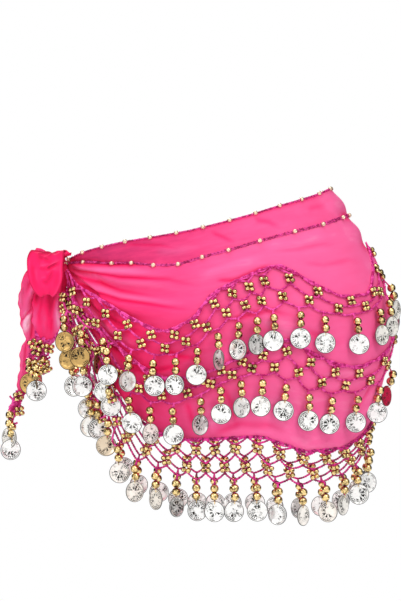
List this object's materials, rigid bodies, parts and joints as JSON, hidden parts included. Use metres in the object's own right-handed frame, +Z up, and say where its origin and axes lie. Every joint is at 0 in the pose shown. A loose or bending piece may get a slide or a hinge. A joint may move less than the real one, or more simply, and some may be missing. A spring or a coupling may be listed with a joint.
{
  "type": "belly dance hip scarf",
  "caption": "Chiffon hip scarf in its worn, hollow form, tied in a half bow at one hip, with beaded nets and coin pendants in swags.",
  "frame": {"origin": "centre of the scarf's open top edge, where it is tied round the wearer's hips", "axes": "+Z up along the wearer, +X towards the raised hip opposite the knot, -Y to the wearer's front"},
  "size_m": [0.4057, 0.26, 0.3385],
  "materials": {
    "chiffon": "hot pink polyester chiffon, sheer, soft sheen",
    "thread": "orchid pink crocheted polyester thread",
    "beads": "gold metallised acrylic beads",
    "pendants": "bright stamped aluminium coins under gold beads"
  },
  "bodies": {
    "root": {"hip_wrap": "chiffon", "knot": "chiffon", "bow_loop": "chiffon", "wide_tail": "chiffon", "long_tail": "chiffon", "upper_net_front": "thread", "upper_net_back": "thread", "middle_net_front": "thread", "middle_net_back": "thread", "hem_net_front": "thread", "hem_net_back": "thread", "wide_tail_net": "thread", "long_tail_net": "thread", "upper_fringe_front": "pendants", "upper_fringe_back": "pendants", "middle_fringe_front": "pendants", "middle_fringe_back": "pendants", "hem_fringe_front": "pendants", "hem_fringe_back": "pendants", "wide_tail_fringe": "pendants", "long_tail_fringe": "pendants"}
  },
  "joints": []
}
